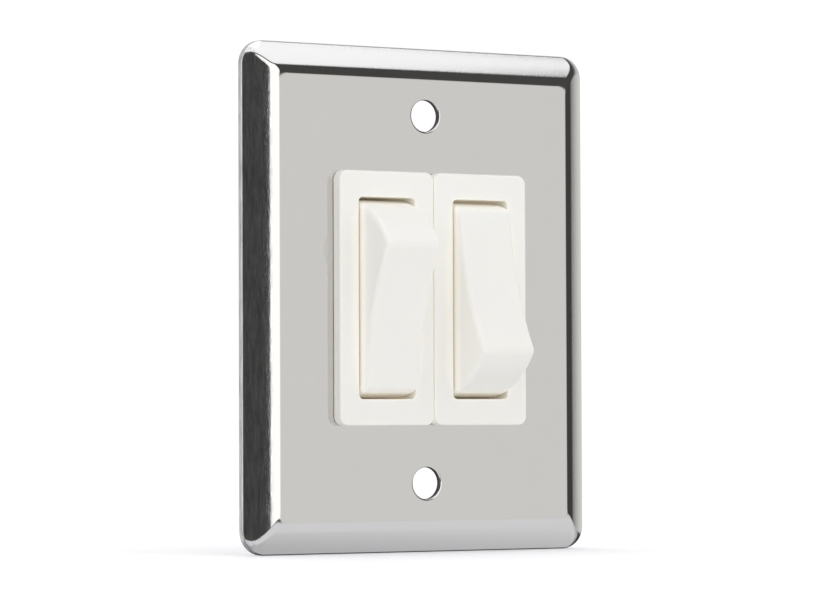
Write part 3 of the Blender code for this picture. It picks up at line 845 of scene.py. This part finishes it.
def coil_rings():
    """Rings of the spring's wire, along the Y axis from the bore's end to the plunger."""
    first = BORE_END + COIL_END_GAP
    length = PLUNGER_BACK - COIL_END_GAP - first
    count = COIL_TURNS * COIL_STEPS
    rings = []
    for i in range(count + 1):
        angle = 2 * math.pi * i / COIL_STEPS
        outward = Vector((math.cos(angle), 0, math.sin(angle)))
        along = Vector((-math.sin(angle) * COIL_RADIUS, length / COIL_TURNS / (2 * math.pi),
                        math.cos(angle) * COIL_RADIUS)).normalized()
        sideways = along.cross(outward)
        centre = outward * COIL_RADIUS + Vector((0, first + length * i / count, 0))
        rings.append([centre + outward * c + sideways * s
                      for c, s in circle(WIRE_RADIUS, WIRE_SIDES)])
    return rings


def make_spring(side, tilt, materials):
    """A coil of round wire, which moves with the rocker."""
    place = rocker_place(side, tilt)
    spring = new_object(f"{side}_coil", loft(coil_rings()), place)
    settle_shading(spring)
    take_over(spring, f"{side}_spring", f"{side}_rocker_body",
              materials["spring_steel"])
    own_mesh(spring)


# ---------------------------------------------------------------- pieces kept from the frame

def soften(name, node, body, slot, width, materials):
    """A piece with its frame node's shape and its edges broken by a small round."""
    obj = bpy.data.objects.new(name, frame["nodes"][node].data.copy())
    bpy.context.scene.collection.objects.link(obj)
    weld = obj.modifiers.new("weld", "WELD")
    weld.merge_threshold = WELD_REACH * MM
    rounds = obj.modifiers.new("rounds", "BEVEL")
    rounds.width = width * MM
    rounds.segments = SOFT_STEPS
    rounds.limit_method = "ANGLE"
    rounds.angle_limit = SHARP_ANGLE
    bake_modifiers(obj)
    settle_shading(obj)
    take_over(obj, node, body, materials[slot])


def finish_inner_pieces(side, materials):
    """The base and terminals get softer edges; the four small parts get only their finish."""
    soften(f"{side}_terminal_block", f"{side}_base", "root", "black_phenolic", BASE_EDGE,
           materials)
    for terminal in ("load", "common"):
        soften(f"{side}_{terminal}_blade", f"{side}_{terminal}_terminal", "root", "brass",
               BLADE_EDGE, materials)
    kept = {"contact_bar": "copper", "moving_contact": "silver", "fixed_contact": "silver",
            "plunger": "acetal"}
    for name, slot in kept.items():
        data = frame["nodes"][f"{side}_{name}"].data
        data.materials.clear()
        data.materials.append(materials[slot])


# ---------------------------------------------------------------- studio and camera

def make_floor():
    """A round white table under the plate's lower edge; mirrors and soft light don't see it."""
    mesh = bmesh.new()
    bmesh.ops.create_circle(mesh, cap_ends=True, segments=FLOOR_STEPS, radius=FLOOR_RADIUS)
    floor_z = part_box("face_plate")[0].z / MM
    floor = new_object("floor", mesh, Matrix.Translation((0, 0, floor_z)))
    material, tree, shader = make_material(
        "floor_paint", Roughness=FLOOR_ROUGHNESS, Emission_Color=WHITE,
        Emission_Strength=FLOOR_GLOW,
    )
    grain = noise(tree, coordinates(tree), 300, detail=2.0)
    link(tree, mix_colors(tree, grain, *FLOOR_PAINT), shader.inputs["Base Color"])
    floor.data.materials.append(material)
    floor.visible_glossy = False
    floor.visible_diffuse = False


def tint(tree, color, shade):
    node = tree.nodes.new("ShaderNodeVectorMath")
    node.operation = "MULTIPLY"
    link(tree, color, node.inputs[0])
    node.inputs[1].default_value = shade
    return node.outputs["Vector"]


def at_azimuth(degrees):
    """Share of the way round, from 0 at -180 degrees to 1 at 180."""
    return (degrees + 180) / 360


def at_elevation(degrees):
    """Share of the way up, from 0 straight down to 1 straight up."""
    return (degrees + 90) / 180


def by_azimuth(tree, turn, stops):
    """Brightness by azimuth."""
    return ramp(tree, turn, [(at_azimuth(degrees), level) for degrees, level in stops])


def by_elevation(tree, height, stops):
    """Brightness by elevation."""
    return ramp(tree, height, [(at_elevation(degrees), level) for degrees, level in stops])


def past_edge(tree, height, edge, levels=(0, 1)):
    """A soft step between two elevations."""
    return remap(tree, height, [at_elevation(degrees) for degrees in edge], levels)


def moved_edge(tree, height, turn, azimuths, degrees):
    """Height such that an edge lies higher by so many degrees, changing between two azimuths."""
    shift = remap(tree, turn, [at_azimuth(a) for a in azimuths], [d / 180 for d in degrees])
    return maths(tree, "SUBTRACT", height, shift)


def mirrored_room(tree, turn, height):
    """What metal mirrors: a ring of panels between dark gaps, a table below, a panel overhead."""
    panel = remap(tree, turn, [at_azimuth(a) for a in FRONT_PANEL_END], (0, 1))
    extra = maths(tree, "MULTIPLY", panel, FRONT_PANEL_EXTRA / 180)
    above_ring = past_edge(tree, maths(tree, "SUBTRACT", height, extra), RING_TOP)
    below_ring = past_edge(tree, height, RING_BOTTOM, (1, 0))
    slanted = moved_edge(tree, height, turn, *OVERHEAD_SLANT)
    on_overhead = past_edge(tree, moved_edge(tree, slanted, turn, *OVERHEAD_STEP), OVERHEAD_EDGE)
    on_table = past_edge(tree, moved_edge(tree, height, turn, *TABLE_STEP), TABLE_EDGE, (1, 0))
    fading = past_edge(tree, height, TABLE_FADE, TABLE_FADE_LEVELS)
    table = mix_colors(tree, fading, (0.0, 0.0, 0.0), by_azimuth(tree, turn, TABLE))
    room = by_azimuth(tree, turn, PANEL_RING)
    room = mix_colors(tree, above_ring, room, by_azimuth(tree, turn, GAP_ABOVE))
    room = mix_colors(tree, below_ring, room, by_azimuth(tree, turn, GAP_BELOW))
    room = tint(tree, room, RING_TINT)
    room = mix_colors(tree, on_table, room, tint(tree, table, TABLE_TINT))
    overhead = tint(tree, by_elevation(tree, height, OVERHEAD), OVERHEAD_TINT)
    return mix_colors(tree, on_overhead, room, overhead)


def make_world():
    """A white background, soft light, and a room with panels that only mirror rays see."""
    world = bpy.data.worlds.new("studio")
    bpy.context.scene.world = world
    world.use_nodes = True
    tree = world.node_tree
    place = tree.nodes.new("ShaderNodeTexCoord")
    parts = tree.nodes.new("ShaderNodeSeparateXYZ")
    link(tree, place.outputs["Generated"], parts.inputs["Vector"])
    toward_front = maths(tree, "MULTIPLY", parts.outputs["Y"], -1.0)
    azimuth = maths(tree, "ARCTAN2", parts.outputs["X"], toward_front)
    elevation = maths(tree, "ARCSINE", parts.outputs["Z"])
    turn = remap(tree, azimuth, (-math.pi, math.pi), (0, 1))
    height = remap(tree, elevation, (-math.pi / 2, math.pi / 2), (0, 1))
    seen = tree.nodes.new("ShaderNodeLightPath")
    lit = mix_colors(tree, seen.outputs["Is Glossy Ray"], by_elevation(tree, height, SOFT_LIGHT),
                     mirrored_room(tree, turn, height))
    shown = mix_colors(tree, seen.outputs["Is Camera Ray"], lit, CAMERA_WHITE)
    background = tree.nodes["Background"]
    link(tree, shown, background.inputs["Color"])
    background.inputs["Strength"].default_value = STUDIO_STRENGTH


def make_camera():
    """The camera that was fitted to the photo."""
    level_share = math.cos(CAMERA_ELEVATION)
    back = Vector((math.sin(CAMERA_AZIMUTH) * level_share,
                   -math.cos(CAMERA_AZIMUTH) * level_share, math.sin(CAMERA_ELEVATION)))
    level = Vector((math.cos(CAMERA_AZIMUTH), math.sin(CAMERA_AZIMUTH), 0))
    above = back.cross(level)
    right = level * math.cos(CAMERA_ROLL) + above * math.sin(CAMERA_ROLL)
    data = bpy.data.cameras.new("camera")
    data.lens = CAMERA_LENS
    data.clip_start = CAMERA_NEAREST * MM
    camera = bpy.data.objects.new("camera", data)
    bpy.context.scene.collection.objects.link(camera)
    axes = Matrix((right, back.cross(right), back)).transposed().to_4x4()
    place = Matrix.Translation((CAMERA_TARGET + back * CAMERA_DISTANCE) * MM)
    camera.matrix_world = place @ axes
    bpy.context.scene.camera = camera
    bpy.context.scene.view_settings.view_transform = "Standard"


def main():
    materials = make_materials()
    make_plate(materials)
    for side, tilt in (("left", ROCKER_TILT), ("right", -ROCKER_TILT)):
        make_housing(side, materials)
        make_rocker(side, tilt, materials)
        make_spring(side, tilt, materials)
        finish_inner_pieces(side, materials)
    make_floor()
    make_world()
    make_camera()


main()
